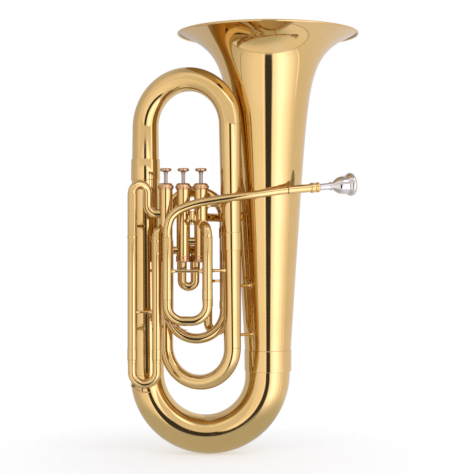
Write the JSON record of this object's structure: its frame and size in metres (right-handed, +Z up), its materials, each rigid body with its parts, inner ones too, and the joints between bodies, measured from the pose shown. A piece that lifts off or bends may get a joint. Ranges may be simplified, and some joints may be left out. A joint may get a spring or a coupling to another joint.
{
  "type": "tuba",
  "caption": "Upright three-valve brass tuba with a flared bell, coiled conical tubing, tuning and valve slides, water keys, leadpipe and mouthpiece.",
  "frame": {"origin": "lowest point of the bottom bow, below the middle of its bend, in the plane of the bell and left branch", "axes": "+Z up along the bell axis, +X towards the bell and the mouthpiece, -Y towards the valve side"},
  "size_m": [0.4599, 0.366, 0.8486],
  "materials": {
    "gold_lacquer": "polished and clear lacquered",
    "cap_brass": "polished and lacquered",
    "button_brass": "polished, slightly pink",
    "key_nickel": "polished",
    "nickel": "polished nickel",
    "silver_plate": "polished silver plate",
    "spring_steel": "bright wire",
    "felt": "pressed felt",
    "cork": "black cork"
  },
  "bodies": {
    "root": {"bell": "gold_lacquer", "bell_rim_wire": "gold_lacquer", "bell_ferrule": "gold_lacquer", "bottom_bow": "gold_lacquer", "left_branch": "gold_lacquer", "left_ferrule": "gold_lacquer", "top_bow": "gold_lacquer", "right_branch": "gold_lacquer", "right_ferrule": "gold_lacquer", "second_bow": "gold_lacquer", "inner_left_leg": "gold_lacquer", "inner_top_bow": "gold_lacquer", "inner_right_leg": "gold_lacquer", "third_bow": "gold_lacquer", "valve_exit_tube": "gold_lacquer", "valve_casing_1": "gold_lacquer", "valve_casing_2": "gold_lacquer", "valve_casing_3": "gold_lacquer", "knuckles": "gold_lacquer", "top_cap_1": "cap_brass", "top_cap_2": "cap_brass", "top_cap_3": "cap_brass", "bottom_cap_1": "cap_brass", "bottom_cap_2": "cap_brass", "bottom_cap_3": "cap_brass", "cap_felts": "felt", "valve_guides": "nickel", "valve_spring_1": "spring_steel", "valve_spring_2": "spring_steel", "valve_spring_3": "spring_steel", "leadpipe": "gold_lacquer", "mouthpiece_receiver": "gold_lacquer", "tuning_sleeves": "gold_lacquer", "tuning_return_tube": "gold_lacquer", "first_slide_tubes": "gold_lacquer", "second_slide_tubes": "gold_lacquer", "third_slide_tubes": "gold_lacquer", "front_braces": "gold_lacquer", "body_braces": "gold_lacquer", "lyre_holder": "gold_lacquer"},
    "valve_1": {"piston_1": "nickel", "finger_button_1": "button_brass"},
    "valve_2": {"piston_2": "nickel", "finger_button_2": "button_brass"},
    "valve_3": {"piston_3": "nickel", "finger_button_3": "button_brass"},
    "tuning_slide": {"tuning_slide": "gold_lacquer", "tuning_key_saddle": "key_nickel", "tuning_key_spring": "spring_steel"},
    "tuning_key": {"tuning_key_lever": "key_nickel", "tuning_key_cork": "cork"},
    "first_slide": {"first_slide": "gold_lacquer"},
    "second_slide": {"second_slide": "gold_lacquer"},
    "third_slide": {"third_slide": "gold_lacquer", "third_key_saddle": "key_nickel", "third_key_spring": "spring_steel"},
    "third_key": {"third_key_lever": "key_nickel", "third_key_cork": "cork"},
    "mouthpiece": {"mouthpiece": "silver_plate"},
    "lyre_screw": {"lyre_screw": "gold_lacquer"}
  },
  "joints": [
    {"name": "valve_1_press", "type": "slide", "parent": "root", "child": "valve_1", "axis": [0, 0, -1], "range_m": [0, 0.014], "stiffness_N_per_m": 300, "springref_m": -0.02, "deforming": ["valve_spring_1"]},
    {"name": "valve_2_press", "type": "slide", "parent": "root", "child": "valve_2", "axis": [0, 0, -1], "range_m": [0, 0.014], "stiffness_N_per_m": 300, "springref_m": -0.02, "deforming": ["valve_spring_2"]},
    {"name": "valve_3_press", "type": "slide", "parent": "root", "child": "valve_3", "axis": [0, 0, -1], "range_m": [0, 0.014], "stiffness_N_per_m": 300, "springref_m": -0.02, "deforming": ["valve_spring_3"]},
    {"name": "tuning_slide_pull", "type": "slide", "parent": "root", "child": "tuning_slide", "axis": [0, 0, -1], "range_m": [0, 0.06]},
    {"name": "first_slide_pull", "type": "slide", "parent": "root", "child": "first_slide", "axis": [0, 0, -1], "range_m": [0, 0.055]},
    {"name": "second_slide_pull", "type": "slide", "parent": "root", "child": "second_slide", "axis": [0, 0, -1], "range_m": [0, 0.018]},
    {"name": "third_slide_pull", "type": "slide", "parent": "root", "child": "third_slide", "axis": [0, 0, -1], "range_m": [0, 0.09]},
    {"name": "tuning_key_lift", "type": "hinge", "parent": "tuning_slide", "child": "tuning_key", "pos_m": [-0.0621, -0.108, 0.2664], "axis": [0, -1, 0], "range_deg": [0, 12], "stiffness_Nm_per_rad": 0.02, "springref_deg": -22.92},
    {"name": "third_key_lift", "type": "hinge", "parent": "third_slide", "child": "third_key", "pos_m": [-0.1257, -0.095, 0.1362], "axis": [0, -1, 0], "range_deg": [0, 12], "stiffness_Nm_per_rad": 0.02, "springref_deg": -22.92},
    {"name": "mouthpiece_pull", "type": "slide", "parent": "root", "child": "mouthpiece", "axis": [0.9353, 0.3404, 0.0963], "range_m": [0, 0.036]},
    {"name": "lyre_screw_turn", "type": "hinge", "parent": "root", "child": "lyre_screw", "pos_m": [-0.0284, -0.108, 0.47], "axis": [0, 1, 0], "range_deg": [0, 360]}
  ]
}
